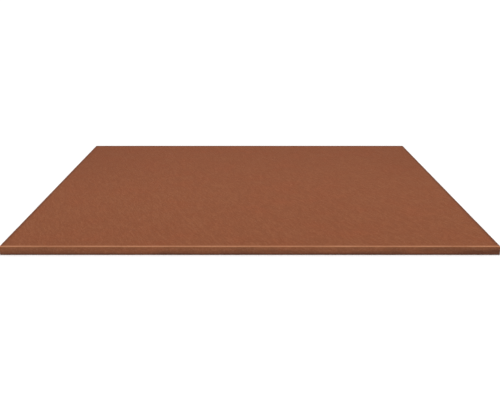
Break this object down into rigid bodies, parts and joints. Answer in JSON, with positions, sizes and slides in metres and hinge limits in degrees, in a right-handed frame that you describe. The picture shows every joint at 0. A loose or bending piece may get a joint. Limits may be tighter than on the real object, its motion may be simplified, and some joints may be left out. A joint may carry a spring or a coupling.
{
  "type": "split tile",
  "caption": "Large square unglazed terracotta floor tile, extruded and split, with eased arrises on its face and dovetail ribs along its back.",
  "frame": {"origin": "middle of the underside, on the plane of the split scars that the tile lies on", "axes": "+Z out of the face, +X along the extrusion and the back's ribs, +Y across the ribs"},
  "size_m": [0.597, 0.597, 0.0115],
  "materials": {
    "fired_clay": "unglazed fired red clay, matt, with a fine wire-dragged grain"
  },
  "bodies": {
    "root": {"split_tile": "fired_clay"}
  },
  "joints": []
}
